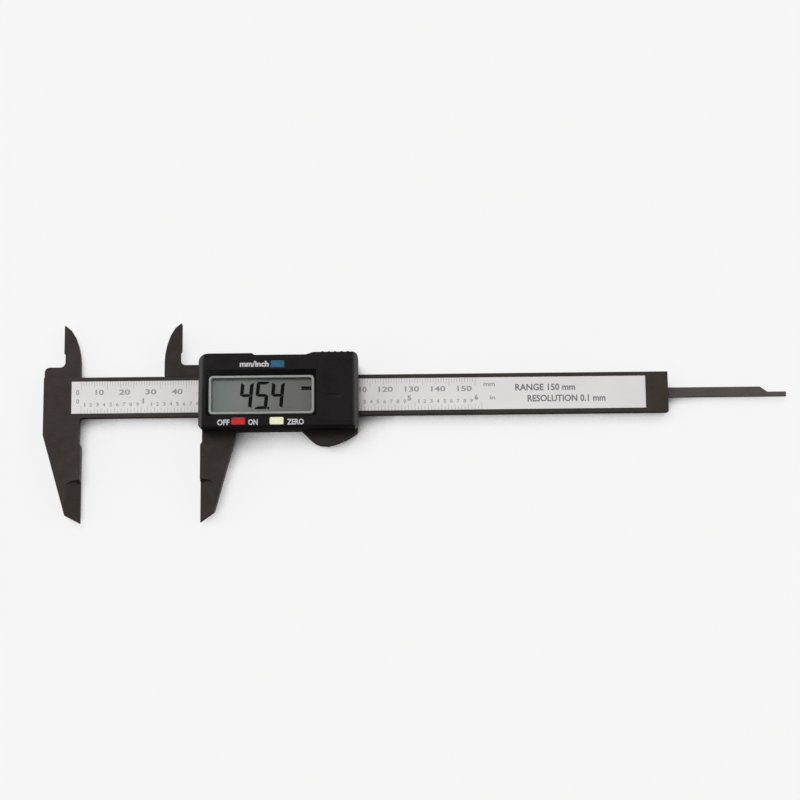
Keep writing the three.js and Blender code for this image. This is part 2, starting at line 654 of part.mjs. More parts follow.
function zebraStrip(name, y) {
  const half = ZEBRA.width / 2;
  const low = MAIN_BOARD.high + BOND_GAP;
  const body = block(ZEBRA.left, ZEBRA.right, y - half, y + half, low, LCD.low - BOND_GAP);
  return piece(name, elastomer, body);
}

function mainBoard() {
  let body = block(
    MAIN_BOARD.left, MAIN_BOARD.right, MAIN_BOARD.bottom, MAIN_BOARD.top, MAIN_BOARD.low, MAIN_BOARD.high,
  );
  for (const side of [-1, 1]) {
    const near = side * BOARD_NOTCH.reach;
    const far = side * (MAIN_BOARD.top + OVERCUT);
    body = body.subtract(block(
      MAIN_BOARD.left - OVERCUT, BOARD_NOTCH.right, Math.min(near, far), Math.max(near, far),
      MAIN_BOARD.low - OVERCUT, MAIN_BOARD.high + OVERCUT,
    ));
  }
  for (const at of BOARD_SCREWS) {
    body = body.subtract(post(
      at.x, at.y, BOARD_SCREW.shankRadius + FIT_GAP, MAIN_BOARD.low - OVERCUT, MAIN_BOARD.high + OVERCUT,
    ));
  }
  return piece("main_board", circuitBoard, body);
}

function boardScrew(at) {
  const s = BOARD_SCREW;
  const body = screw(at.x, at.y, s.headRadius, s.headLow, s.headHigh, s.shankRadius, s.tip);
  return piece("board_screw_" + at.name, screwSteel, body);
}

function chipCover() {
  const section = scaled(CHIP_PROFILE, CHIP.radius, CHIP.height);
  return piece("chip_cover", epoxy, turned(CHIP.x, CHIP.y, MAIN_BOARD.high + BOND_GAP, section));
}

function filterCapacitor() {
  const { x, y, length, width, height } = CAPACITOR;
  const low = MAIN_BOARD.high + BOND_GAP;
  const body = block(x - length / 2, x + length / 2, y - width / 2, y + width / 2, low, low + height);
  return piece("filter_capacitor", ceramicChip, body);
}

// ---- Battery, its contacts and its cover --------------------------------------------------

function battery() {
  const b = BATTERY;
  const height = b.high - b.low;
  const body = turned(b.x, b.y, b.low, [
    [0, 0],
    [b.capRadius, 0],
    [b.capRadius, b.capHeight],
    [b.radius - b.chamfer, b.capHeight],
    [b.radius, b.capHeight + b.chamfer],
    [b.radius, height - b.chamfer],
    [b.radius - b.chamfer, height],
    [0, height],
  ]);
  return piece("battery", batterySteel, body);
}

// A flat leaf under the cell, with a step up to its foot on the board.
function minusContact() {
  const t = CONTACT.thickness;
  const m = MINUS_CONTACT;
  const leafLow = BAY.floor + m.lift;
  const footLow = MAIN_BOARD.high + BOND_GAP;
  const shape = outline([
    [CONTACT.footX, footLow],
    [m.stepLeft, footLow],
    [m.stepRight, leafLow],
    [m.right, leafLow],
    [m.right, leafLow + t],
    [m.stepRight + m.bend, leafLow + t],
    [m.stepLeft + m.bend, footLow + t],
    [CONTACT.footX, footLow + t],
  ]);
  const half = CONTACT.width / 2;
  return piece("battery_contact_minus", springSteel, prismAlongY(shape, -half, half));
}

// A bent leaf that leans on the side of the cell.
function plusContact() {
  const t = CONTACT.thickness;
  const p = PLUS_CONTACT;
  const footLow = MAIN_BOARD.high + BOND_GAP;
  const shape = outline([
    [CONTACT.footX, footLow],
    [p.legX, footLow],
    [p.kneeX, p.kneeZ],
    [p.tipX, p.tipZ],
    [p.tipX - t, p.tipZ],
    [p.kneeX - t, p.kneeZ],
    [p.legX - t, footLow + t],
    [CONTACT.footX, footLow + t],
  ]);
  const body = prismAlongY(shape, p.bottom, p.bottom + CONTACT.width);
  return piece("battery_contact_plus", springSteel, body);
}

// The plate slides in over the bay, and its end wall closes the end of the housing.
function batteryCover() {
  const far = HOUSING.right + OVERCUT;
  const bottom = BAY.bottom + FIT_GAP;
  const top = BAY.top - FIT_GAP;
  const wallLeft = HOUSING.right - COVER.endWall;
  const blank = housingBlank();
  const plate = block(COVER.left, far, bottom, top, COVER.plateLow, HOUSING.front + OVERCUT);
  const end = block(wallLeft, far, bottom, top, COVER.endLow, HOUSING.front);
  const lowerLeg = coverLeg(bottom, bottom + COVER.legWidth, bottom - COVER.tongue + FIT_GAP);
  const upperLeg = coverLeg(top - COVER.legWidth, top, top + COVER.tongue - FIT_GAP);
  const body = blank.intersect(plate.add(end)).add(lowerLeg).add(upperLeg).subtract(coverArrow());
  return piece("battery_cover", housingPlastic, body);
}

// One side of the cover below its plate, with the tongue that runs in the housing's groove.
function coverLeg(legBottom, legTop, tongueEnd) {
  const left = BAY.left + BAY.wall + FIT_GAP;
  const right = HOUSING.right - COVER.endWall + FIT_GAP;
  const bottom = Math.min(legBottom, tongueEnd);
  const top = Math.max(legTop, tongueEnd);
  const leg = block(left, right, legBottom, legTop, COVER_RAIL.low, COVER.plateLow + FIT_GAP);
  const tongue = block(left, right, bottom, top, COVER_RAIL.low, COVER_RAIL.high);
  return leg.add(tongue);
}

// The arrow sunk in the cover's face, which points the way it slides off.
function coverArrow() {
  const a = COVER_ARROW;
  const neck = a.right - a.headLength;
  const shape = outline([
    [a.left, a.y - a.shaftHalf],
    [neck, a.y - a.shaftHalf],
    [neck, a.y - a.half],
    [a.right, a.y],
    [neck, a.y + a.half],
    [neck, a.y + a.shaftHalf],
    [a.left, a.y + a.shaftHalf],
  ]);
  return slab(shape, HOUSING.front - a.depth, HOUSING.front + OVERCUT);
}

// ---- Buttons ------------------------------------------------------------------------------

function buttonOutline(at, size, grow) {
  const x = size.length / 2 + grow;
  const y = size.width / 2 + grow;
  return roundedRectangle(at.x - x, at.x + x, at.y - y, at.y + y, BUTTON.radius + grow);
}

function button(at) {
  const capLow = BUTTON_FLANGE.high - 2 * BUTTON.edge;
  const cap = softSlab(buttonOutline(at, BUTTON, 0), capLow, BUTTON.top, BUTTON.edge);
  const flange = slab(buttonOutline(at, BUTTON_FLANGE, 0), BUTTON_FLANGE.low, BUTTON_FLANGE.high);
  const stem = post(at.x, at.y, BUTTON_STEM.radius, BUTTON_STEM.low, BUTTON_FLANGE.low + FIT_GAP);
  const look = material(at.colour, BUTTON.roughness);
  return piece(at.name + "_button", look, cap.add(flange).add(stem));
}

function switchDome(at) {
  const section = scaled(DOME_PROFILE, DOME.radius, DOME.height);
  const body = turned(at.x, at.y, MAIN_BOARD.high + BOND_GAP, section, SMALL_SIDES);
  return piece(at.name + "_switch_dome", springSteel, body);
}

// ---- Assembly -----------------------------------------------------------------------------

const caliper = new THREE.Group();
caliper.add(
  beam(),
  strip("scale_board", circuitBoard, BOARD_STRIP),
  strip("scale_label", labelFilm, LABEL),
  endStopPlate(),
  endStopScrew("end_stop_screw_upper", 1),
  endStopScrew("end_stop_screw_lower", -1),
  sliderFrame(),
  depthRod(),
  gibSpring(),
  ...HOUSING_SCREWS.map(housingScrew),
  frontHousing(),
  lcdBezel(),
  lcdWindow(),
  lcdGlass(),
  zebraStrip("zebra_strip_upper", ZEBRA.upperY),
  zebraStrip("zebra_strip_lower", ZEBRA.lowerY),
  mainBoard(),
  ...BOARD_SCREWS.map(boardScrew),
  chipCover(),
  filterCapacitor(),
  battery(),
  minusContact(),
  plusContact(),
  batteryCover(),
  ...BUTTONS.map(button),
  ...BUTTONS.map(switchDome),
);

export default caliper;
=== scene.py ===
import math

import bmesh
import bpy
import numpy as np
from mathutils import Matrix, Vector


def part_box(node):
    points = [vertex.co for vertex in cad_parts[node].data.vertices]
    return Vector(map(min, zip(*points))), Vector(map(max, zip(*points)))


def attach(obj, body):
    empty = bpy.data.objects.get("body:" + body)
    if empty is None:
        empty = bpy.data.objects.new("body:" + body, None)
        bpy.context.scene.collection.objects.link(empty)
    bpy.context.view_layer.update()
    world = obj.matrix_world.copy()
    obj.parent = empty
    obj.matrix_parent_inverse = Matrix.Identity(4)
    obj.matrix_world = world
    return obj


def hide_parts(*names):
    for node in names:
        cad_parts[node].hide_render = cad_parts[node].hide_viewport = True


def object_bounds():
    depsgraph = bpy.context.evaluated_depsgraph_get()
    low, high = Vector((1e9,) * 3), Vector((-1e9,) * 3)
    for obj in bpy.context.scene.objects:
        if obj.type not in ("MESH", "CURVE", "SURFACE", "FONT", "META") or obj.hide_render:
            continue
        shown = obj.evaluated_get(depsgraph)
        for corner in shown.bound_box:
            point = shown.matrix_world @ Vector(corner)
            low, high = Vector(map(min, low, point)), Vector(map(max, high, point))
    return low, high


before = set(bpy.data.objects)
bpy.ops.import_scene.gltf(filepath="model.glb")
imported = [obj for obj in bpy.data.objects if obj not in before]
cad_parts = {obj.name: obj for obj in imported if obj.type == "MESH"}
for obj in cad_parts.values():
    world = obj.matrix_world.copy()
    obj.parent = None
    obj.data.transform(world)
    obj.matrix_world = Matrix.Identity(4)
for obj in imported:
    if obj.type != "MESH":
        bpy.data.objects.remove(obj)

CAD_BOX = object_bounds()
MM = 0.001
scene = bpy.context.scene
scene.view_settings.view_transform = "Standard"

# ---- Camera ---------------------------------------------------------------------------------

CAMERA_AIM = Vector((121.3, -1.57, 0.0)) * MM
CAMERA_DISTANCE = 680 * MM
CAMERA_ELEVATION = math.radians(80.5)
CAMERA_ROLL = math.radians(0.62)
CAMERA_LENS = 80


def add_camera():
    """The photograph's view: from in front and above, rolled a little."""
    back = Vector((0, -math.cos(CAMERA_ELEVATION), math.sin(CAMERA_ELEVATION)))
    level = Vector((1, 0, 0))
    upright = back.cross(level)
    right = level * math.cos(CAMERA_ROLL) - upright * math.sin(CAMERA_ROLL)
    up = level * math.sin(CAMERA_ROLL) + upright * math.cos(CAMERA_ROLL)
    data = bpy.data.cameras.new("camera")
    data.lens = CAMERA_LENS
    camera = bpy.data.objects.new("camera", data)
    turn = Matrix((right, up, back)).transposed().to_4x4()
    camera.matrix_world = Matrix.Translation(CAMERA_AIM + back * CAMERA_DISTANCE) @ turn
    scene.collection.objects.link(camera)
    scene.camera = camera


add_camera()

# ---- Node helpers ---------------------------------------------------------------------------

RANGE_INPUTS = ("From Min", "From Max", "To Min", "To Max")
# Most of a noise texture lies between these two values.
NOISE_LOW = 0.3
NOISE_HIGH = 0.7
# How far a normal leans along an axis where a surface starts to count as a wall, and where it is one.
WALL_START = 0.35
WALL_FULL = 0.85
WALL_DULLER = 0.35
WALL_GLOSS = 0.02


def linear(red, green, blue):
    """An sRGB colour of 0 to 255 as a linear RGBA."""
    parts = []
    for value in (red, green, blue):
        c = value / 255
        parts.append(c / 12.92 if c <= 0.04045 else ((c + 0.055) / 1.055) ** 2.4)
    return (*parts, 1.0)


class Look:
    """One material, built node by node. Coordinates are metres in the object's frame."""

    def __init__(self, name):
        self.material = bpy.data.materials.new(name)
        self.material.use_nodes = True
        self.tree = self.material.node_tree
        self.tree.nodes.clear()
        self.output = self.add("ShaderNodeOutputMaterial")
        self.shader = self.add("ShaderNodeBsdfPrincipled")
        self.join(self.shader.outputs[0], self.output.inputs["Surface"])
        self.place = self.add("ShaderNodeTexCoord").outputs["Object"]

    def add(self, kind, **settings):
        node = self.tree.nodes.new(kind)
        for key, value in settings.items():
            setattr(node, key, value)
        return node

    def join(self, source, target):
        self.tree.links.new(source, target)

    def set(self, **values):
        for key, value in values.items():
            self.shader.inputs[key.replace("_", " ")].default_value = value

    def feed(self, socket, source):
        self.join(source, self.shader.inputs[socket])

    def stretched(self, sx, sy, sz, turn=0):
        """The place scaled along each axis, and turned about z by turn radians."""
        mapping = self.add("ShaderNodeMapping")
        mapping.inputs["Scale"].default_value = (sx, sy, sz)
        mapping.inputs["Rotation"].default_value = (0, 0, turn)
        self.join(self.place, mapping.inputs["Vector"])
        return mapping.outputs[0]

    def noise(self, size, detail=3, rough=0.6, stretch=(1, 1, 1), turn=0):
        """Noise whose features are about size millimetres across, longer where stretch is over 1."""
        node = self.add("ShaderNodeTexNoise")
        node.inputs["Scale"].default_value = 1 / (size * MM)
        node.inputs["Detail"].default_value = detail
        node.inputs["Roughness"].default_value = rough
        self.join(self.stretched(*(1 / s for s in stretch), turn), node.inputs["Vector"])
        return node.outputs["Fac"]

    def cells(self, size):
        """The distance from the nearest of many points about size millimetres apart."""
        node = self.add("ShaderNodeTexVoronoi")
        node.inputs["Scale"].default_value = 1 / (size * MM)
        self.join(self.place, node.inputs["Vector"])
        return node.outputs["Distance"]

    def span(self, source, low, high, to_low, to_high):
        """Source, from low to high, as to_low to to_high, clamped."""
        node = self.add("ShaderNodeMapRange")
        for key, value in zip(RANGE_INPUTS, (low, high, to_low, to_high)):
            node.inputs[key].default_value = value
        self.join(source, node.inputs["Value"])
        return node.outputs[0]

    def uneven(self, size, low, high, detail=3, rough=0.6):
        """A value that wanders between low and high, over about size millimetres."""
        return self.span(self.noise(size, detail, rough), NOISE_LOW, NOISE_HIGH, low, high)

    def math(self, operation, first, second):
        """One operation on two values; each is a number or a socket."""
        node = self.add("ShaderNodeMath", operation=operation)
        for index, value in enumerate((first, second)):
            if isinstance(value, (int, float)):
                node.inputs[index].default_value = value
            else:
                self.join(value, node.inputs[index])
        return node.outputs[0]

    def mix(self, amount, first, second):
        """A colour between first and second; each is a colour or a socket."""
        node = self.add("ShaderNodeMix", data_type="RGBA")
        self.join(amount, node.inputs["Factor"])
        for key, value in (("A", first), ("B", second)):
            socket = [s for s in node.inputs if s.name == key and s.type == "RGBA"][0]
            if isinstance(value, tuple):
                socket.default_value = value
            else:
                self.join(value, socket)
        return [s for s in node.outputs if s.type == "RGBA"][0]

    def axis(self, name):
        """The place along one axis."""
        node = self.add("ShaderNodeSeparateXYZ")
        self.join(self.place, node.inputs[0])
        return node.outputs[name]

    def facing(self, axis, start=WALL_START, full=WALL_FULL):
        """1 on a wall that faces along the axis, either way, and 0 on a surface that does not."""
        split = self.add("ShaderNodeSeparateXYZ")
        self.join(self.add("ShaderNodeNewGeometry").outputs["Normal"], split.inputs[0])
        return self.span(self.math("ABSOLUTE", split.outputs[axis], 0), start, full, 0, 1)

    def dull_walls(self, roughness, specular):
        """Feed a roughness that is higher on the long side walls, and return a gloss lower there."""
        wall = self.facing("Y")
        self.feed("Roughness", self.math("ADD", roughness, self.span(wall, 0, 1, 0, WALL_DULLER)))
        return self.span(wall, 0, 1, specular, WALL_GLOSS)

    def bump(self, height, depth, strength, below=None):
        """A bump of depth millimetres for a height of 0 to 1, over another bump if below is given."""
        node = self.add("ShaderNodeBump")
        node.inputs["Strength"].default_value = strength
        node.inputs["Distance"].default_value = depth * MM
        self.join(height, node.inputs["Height"])
        if below is not None:
            self.join(below, node.inputs["Normal"])
        return node.outputs["Normal"]


# ---- Materials ------------------------------------------------------------------------------

FIBRE_STRETCH = (7, 1, 1)
FIBRE_TURN = 0.25
FIBRE_LIGHTER = 34
# The ends of the housing shine more, from where their rounding starts to where it is steep.
END_START = 0.05
END_FULL = 0.5
END_GLOSS = 0.5
SCUFF_STRETCH = (60, 1, 1)
SCUFF_TURN = 0.5
BRUSH_STRETCH = (45, 1, 1)
# The display's tone changes at these shares of its width. A painted shadow of the bezel darkens it over
# this depth below its top edge.
DISPLAY_LEFT = 0.3
DISPLAY_RIGHT = 0.75
DISPLAY_SHADE = 2.6 * MM
# The share of light that the window mirrors, seen straight on and edge on.
WINDOW_GLOSS = (0.015, 0.6)
WINDOW_CLEAR = (0.94, 0.945, 0.94, 1)
WINDOW_MIRROR = (0.4, 0.41, 0.41, 1)
FACING_POWER = 5
WINDOW_SCUFF_STRETCH = (70, 1, 1)
WINDOW_SCUFF_TURN = 0.4
TRACK_WIDTH = 0.06
TRACK_STRETCH = 0.4
# The floor's painted soft shadow, made by dimming its glow near a body: its reach, the side that its
# light comes from, the openness that it starts and ends at, and how fast it falls off.
SHADE_REACH = 15 * MM
SHADE_LEAN = (-0.38, 0.42, 0.82)
SHADE_CONTACT = 0.32
SHADE_OPEN = 0.95
SHADE_FALL = 7
SHADE_SAMPLES = 8
FLOOR_GLOW = 0.76
FLOOR_DARK = (0.15, 0.15, 0.15, 1)
FLOOR_LIGHT = (0.165, 0.165, 0.165, 1)


def composite_look(name, dark, light, roughness, specular):
    """Fibre-filled moulded plastic: cloudy tone, short fibres at the skin and a fine grain."""
    look = Look(name)
    cloud = look.span(look.noise(9, detail=4, stretch=(1.6, 1, 1)), 0.35, 0.68, 0, 1)
    base = look.mix(cloud, linear(*dark), linear(*light))
    fibre = look.noise(0.22, detail=2, stretch=FIBRE_STRETCH, turn=FIBRE_TURN)
    fibres = look.span(fibre, 0.6, 0.78, 0, 0.35)
    look.feed("Base Color", look.mix(fibres, base, linear(*(c + FIBRE_LIGHTER for c in light))))
    worn = look.uneven(3.5, roughness - 0.09, roughness + 0.09, detail=5, rough=0.65)
    look.feed("Specular IOR Level", look.dull_walls(worn, specular))
    grain = look.bump(look.noise(0.28), depth=0.012, strength=0.55)
    ripple = look.noise(0.9, detail=2, rough=0.5, stretch=(2.5, 1, 1))
    look.feed("Normal", look.bump(ripple, depth=0.02, strength=0.4, below=grain))
    return look.material


def housing_look(name, dark, light, roughness, specular):
    """Spark-textured moulded plastic, shinier on its rounded ends."""
    look = Look(name)
    cloud = look.span(look.noise(12, rough=0.55), 0.35, 0.65, 0, 1)
    look.feed("Base Color", look.mix(cloud, linear(*dark), linear(*light)))
    worn = look.uneven(2.2, roughness - 0.08, roughness + 0.1, detail=5, rough=0.7)
    gloss = look.dull_walls(worn, specular)
    end = look.span(look.facing("X", END_START, END_FULL), 0, 1, 0, END_GLOSS)
    look.feed("Specular IOR Level", look.math("ADD", gloss, end))
    pits = look.bump(look.cells(0.32), depth=0.02, strength=0.35)
    look.feed("Normal", look.bump(look.noise(0.18, detail=2), depth=0.01, strength=0.5, below=pits))
    return look.material


def panel_look():
    """Glossy black moulding with hairline scuffs."""
    look = Look("panel_gloss")
    haze = look.span(look.noise(6, detail=4), 0.4, 0.7, 0, 1)
    look.feed("Base Color", look.mix(haze, linear(3, 3, 3), linear(5, 5, 5)))
    hairlines = look.noise(0.12, detail=2, rough=0.5, stretch=SCUFF_STRETCH, turn=SCUFF_TURN)
    scuff = look.span(hairlines, 0.62, 0.7, 0, 1)
    look.feed("Roughness", look.span(scuff, 0, 1, 0.1, 0.2))
    look.feed("Normal", look.bump(look.noise(3, detail=2, rough=0.5), depth=0.01, strength=0.3))
    look.set(Specular_IOR_Level=0.1)
    return look.material


def label_look():
    """Silver-white printed film with a faint brushed grain."""
    look = Look("label_film")
    cloud = look.span(look.noise(26, rough=0.55, stretch=(1.8, 1, 1)), 0.35, 0.65, 0, 1)
    base = look.mix(cloud, linear(211, 206, 207), linear(220, 216, 217))
    brushed = look.noise(0.12, stretch=BRUSH_STRETCH)
    base = look.mix(look.span(brushed, 0.35, 0.75, 0, 0.22), base, linear(208, 203, 205))
    look.feed("Base Color", base)
    look.feed("Roughness", look.uneven(5, 0.34, 0.5, detail=4))
    look.feed("Normal", look.bump(brushed, depth=0.004, strength=0.35))
    look.set(Metallic=0.0, Specular_IOR_Level=0.4)
    return look.material


def ink_look(name, colour, faded, roughness=0.55, specular=0.3):
    """Screen-printed ink, thinner in places."""
    look = Look(name)
    thin = look.span(look.noise(0.5, detail=4, rough=0.7), 0.35, 0.7, 0, 1)
    look.feed("Base Color", look.mix(thin, linear(*colour), linear(*faded)))
    look.feed("Roughness", look.uneven(0.25, roughness - 0.1, roughness + 0.1))
    look.feed("Normal", look.bump(look.noise(0.15, detail=2, rough=0.5), depth=0.004, strength=0.5))
    look.set(Specular_IOR_Level=specular)
    return look.material


def bezel_look():
    """Silver paint on plastic, with fine flake."""
    look = Look("bezel_silver")
    flake = look.span(look.cells(0.16), 0.1, 0.7, 0, 1)
    look.feed("Base Color", look.mix(flake, linear(136, 139, 136), linear(114, 117, 114)))
    look.feed("Roughness", look.uneven(1.8, 0.3, 0.48, detail=4, rough=0.65))
    look.feed("Normal", look.bump(look.cells(0.16), depth=0.006, strength=0.4))
    look.set(Metallic=0.35, Specular_IOR_Level=0.4)
    return look.material


def display_look(left, right, top):
    """The reflective display: greener to the left, darker to the right, with a painted shadow of the
    bezel along its top edge and a fine cell texture.
    """
    look = Look("display_panel")
    along = look.axis("X")
    first = left + (right - left) * DISPLAY_LEFT
    second = left + (right - left) * DISPLAY_RIGHT
    base = look.mix(look.span(along, first, second, 0, 1), linear(130, 131, 131), linear(108, 107, 107))
    base = look.mix(look.span(along, left, first, 1, 0), base, linear(119, 128, 127))
    # Painted shadow of the bezel: the display is darker towards its top edge.
    shade = look.span(look.axis("Y"), top - DISPLAY_SHADE, top, 0, 0.6)
    base = look.mix(shade, base, linear(96, 99, 97))
    cell = look.span(look.noise(0.08, detail=2), 0.4, 0.75, 0, 0.2)
    look.feed("Base Color", look.mix(cell, base, linear(160, 165, 160)))
    look.feed("Roughness", look.uneven(2.5, 0.4, 0.55))
    look.feed("Normal", look.bump(look.noise(0.1, detail=2), depth=0.003, strength=0.4))
    look.set(Specular_IOR_Level=0.2)
    return look.material


def window_look():
    """Thin clear plastic: what is behind shows through, and only its gloss is added."""
    look = Look("clear_window")
    clear = look.add("ShaderNodeBsdfTransparent")
    clear.inputs["Color"].default_value = WINDOW_CLEAR
    look.set(Base_Color=WINDOW_MIRROR, Metallic=1.0)
    hairlines = look.noise(
        0.1, detail=2, rough=0.5, stretch=WINDOW_SCUFF_STRETCH, turn=WINDOW_SCUFF_TURN
    )
    scuff = look.span(hairlines, 0.6, 0.72, 0, 1)
    look.feed("Roughness", look.span(scuff, 0, 1, 0.04, 0.2))
    edge_on = look.add("ShaderNodeLayerWeight").outputs["Facing"]
    gloss = look.span(look.math("POWER", edge_on, FACING_POWER), 0, 1, *WINDOW_GLOSS)
    blend = look.add("ShaderNodeMixShader")
    look.join(gloss, blend.inputs[0])
    look.join(clear.outputs[0], blend.inputs[1])
    look.join(look.shader.outputs[0], blend.inputs[2])
    look.join(blend.outputs[0], look.output.inputs["Surface"])
    return look.material


def button_look(name, colour, deep):
    """Soft-touch moulded button, slightly deeper in tone where it is thumbed."""
    look = Look(name)
    rub = look.span(look.noise(1.6, detail=4), 0.35, 0.7, 0, 1)
    look.feed("Base Color", look.mix(rub, linear(*colour), linear(*deep)))
    look.feed("Roughness", look.uneven(0.8, 0.42, 0.6, detail=4))
    look.feed("Normal", look.bump(look.noise(0.2), depth=0.01, strength=0.4))
    look.set(Specular_IOR_Level=0.2, Subsurface_Weight=0.08, Subsurface_Scale=0.4 * MM)
    return look.material


def metal_look(name, colour, deep, roughness, stretch=(1, 1, 1)):
    """Bright steel with drawing or rolling marks along its longer stretch."""
    look = Look(name)
    stain = look.span(look.noise(2.4, detail=5, rough=0.65), 0.35, 0.7, 0, 1)
    look.feed("Base Color", look.mix(stain, linear(*colour), linear(*deep)))
    marks = look.noise(0.1, stretch=stretch)
    look.feed("Roughness", look.span(marks, NOISE_LOW, NOISE_HIGH, roughness - 0.08, roughness + 0.12))
    look.feed("Normal", look.bump(marks, depth=0.006, strength=0.5))
    look.set(Metallic=1.0)
    return look.material


def board_look():
    """Green solder resist over copper tracks."""
    look = Look("circuit_board")
    tracks = look.add("ShaderNodeTexBrick", offset=0.35)
    tracks.inputs["Scale"].default_value = 1 / (1.1 * MM)
    tracks.inputs["Mortar Size"].default_value = TRACK_WIDTH
    look.join(look.stretched(TRACK_STRETCH, 1, 1), tracks.inputs["Vector"])
    track = look.span(tracks.outputs["Fac"], 0, 1, 0, 0.6)
    look.feed("Base Color", look.mix(track, linear(24, 84, 50), linear(52, 122, 74)))
    look.feed("Roughness", look.uneven(1.2, 0.28, 0.42))
    look.feed("Normal", look.bump(tracks.outputs["Fac"], depth=0.03, strength=0.5))
    return look.material


def moulded_look(name, colour, deep, roughness):
    """A small plain part: rubber, epoxy or ceramic."""
    look = Look(name)
    tone = look.uneven(0.8, 0, 1, detail=4)
    look.feed("Base Color", look.mix(tone, linear(*colour), linear(*deep)))
    look.feed("Roughness", look.uneven(0.4, roughness - 0.08, roughness + 0.08))
    look.feed("Normal", look.bump(look.noise(0.2), depth=0.01, strength=0.5))
    return look.material


def floor_look():
    """Smooth white sheet that glows a little, less where a body close by covers it: a painted shadow.
    """
    look = Look("studio_floor")
    cloud = look.uneven(120, 0, 1, detail=2, rough=0.5)
    look.feed("Base Color", look.mix(cloud, FLOOR_DARK, FLOOR_LIGHT))
    near = look.add("ShaderNodeAmbientOcclusion", samples=SHADE_SAMPLES)
    near.inputs["Distance"].default_value = SHADE_REACH
    lean = look.add("ShaderNodeCombineXYZ")
    for key, value in zip("XYZ", SHADE_LEAN):
        lean.inputs[key].default_value = value
    look.join(lean.outputs[0], near.inputs["Normal"])
    # Painted shadow: the floor's glow fades where the tilted occlusion test finds a body close by.
    covered = look.span(near.outputs["AO"], SHADE_CONTACT, SHADE_OPEN, 1, 0)
    shade = look.math("POWER", covered, SHADE_FALL)
    look.feed("Emission Strength", look.span(shade, 0, 1, FLOOR_GLOW, 0))
    look.feed("Roughness", look.uneven(3, 0.75, 0.9))
    look.feed("Normal", look.bump(look.noise(0.8), depth=0.01, strength=0.3))
    look.set(Emission_Color=(1, 1, 1, 1), Specular_IOR_Level=0.1)
    return look.material


LCD_LOW, LCD_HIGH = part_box("lcd_glass")

COMPOSITE = composite_look("jaw_composite", (45, 38, 34), (54, 47, 43), 0.56, 0.15)
COMPOSITE_SLIDER = composite_look("jaw_composite_slider", (38, 32, 29), (47, 40, 37), 0.56, 0.15)
COMPOSITE_EDGE = composite_look("jaw_composite_edge", (48, 40, 36), (62, 54, 50), 0.46, 0.25)
# The rod's copy of the composite is lighter as painted light: it stands in for the rod catching more
# light than the beam.
LIT_COMPOSITE_ROD = composite_look("jaw_composite_rod_painted_light", (67, 61, 60), (79, 71, 70), 0.5, 0.25)
HOUSING = housing_look("housing_plastic", (17, 14, 15), (23, 20, 20), 0.5, 0.08)
HOUSING_EDGE = housing_look("housing_plastic_edge", (27, 24, 24), (36, 33, 32), 0.45, 0.2)
PANEL = panel_look()
LABEL = label_look()
TICK_INK = ink_look("label_ink_fine", (152, 147, 150), (176, 171, 174))
LABEL_INK = ink_look("label_ink", (136, 132, 135), (166, 161, 164))
FAINT_INK = ink_look("label_ink_faint", (144, 140, 142), (170, 165, 168))
BOLD_INK = ink_look("label_ink_bold", (88, 82, 88), (122, 116, 122))
LEGEND_INK = ink_look("legend_ink", (205, 203, 208), (168, 166, 172))
BEZEL = bezel_look()
DISPLAY = display_look(LCD_LOW.x, LCD_HIGH.x, LCD_HIGH.y)
SEGMENT = ink_look("display_segment", (8, 8, 10), (12, 12, 15), 0.5, 0.02)
GHOST = ink_look("display_ghost", (98, 104, 102), (108, 113, 111), 0.4)
WINDOW = window_look()
RED = button_look("red_button", (186, 38, 38), (166, 30, 31))
YELLOW = button_look("yellow_button", (236, 232, 200), (226, 221, 186))
BLUE = button_look("blue_button", (34, 92, 122), (24, 76, 102))
SCREW_STEEL = metal_look("screw_steel", (150, 152, 156), (112, 113, 118), 0.34)
SPRING_STEEL = metal_look("spring_steel", (190, 192, 194), (158, 160, 164), 0.3, (30, 1, 1))
CELL_STEEL = metal_look("cell_steel", (172, 174, 177), (142, 144, 148), 0.42, (18, 1, 1))
BOARD = board_look()
ELASTOMER = moulded_look("elastomer", (186, 170, 164), (160, 144, 140), 0.7)
EPOXY = moulded_look("chip_epoxy", (20, 20, 21), (30, 30, 31), 0.4)
CERAMIC = moulded_look("capacitor_ceramic", (178, 140, 94), (156, 120, 80), 0.5)

# ---- Pieces carried over from the CAD nodes --------------------------------------------------

SHARP_ANGLE = math.radians(32)
FLAT_ANGLE = math.radians(0.4)
WELD = 0.002 * MM
MIN_UPRIGHT = 0.4 * MM
FOLD_AREA = 0.01 * MM * MM
# The shares of a rounding's width that are tried in turn.
WIDTH_SHARES = (1, 0.6, 0.35)
# Each kind of rounded edge: its width in millimetres and its number of segments.
FRAME_EDGE = (0.2, 2)
BEZEL_EDGE = (0.25, 3)
THIN_WALL_EDGE = (0.12, 2)
CELL_EDGE = (0.1, 2)
BUTTON_EDGE = (0.08, 2)
THIN_EDGE = (0.05, 1)


def link(name, mesh):
    piece = bpy.data.objects.new(name, mesh)
    scene.collection.objects.link(piece)
    return piece


def tessellates(bm):
    """True if every face is still a simple outline that its triangles fill exactly."""
    mesh = bpy.data.meshes.new("trial")
    bm.to_mesh(mesh)
    mesh.calc_loop_triangles()
    count = len(mesh.polygons)
    areas = np.zeros(count, np.float32)
    mesh.polygons.foreach_get("area", areas)
    owners = np.zeros(len(mesh.loop_triangles), np.int32)
    parts = np.zeros(len(mesh.loop_triangles), np.float32)
    mesh.loop_triangles.foreach_get("polygon_index", owners)
    mesh.loop_triangles.foreach_get("area", parts)
    filled = np.bincount(owners, parts, count)
    bpy.data.meshes.remove(mesh)
    return bool(np.all(np.abs(filled - areas) < FOLD_AREA))


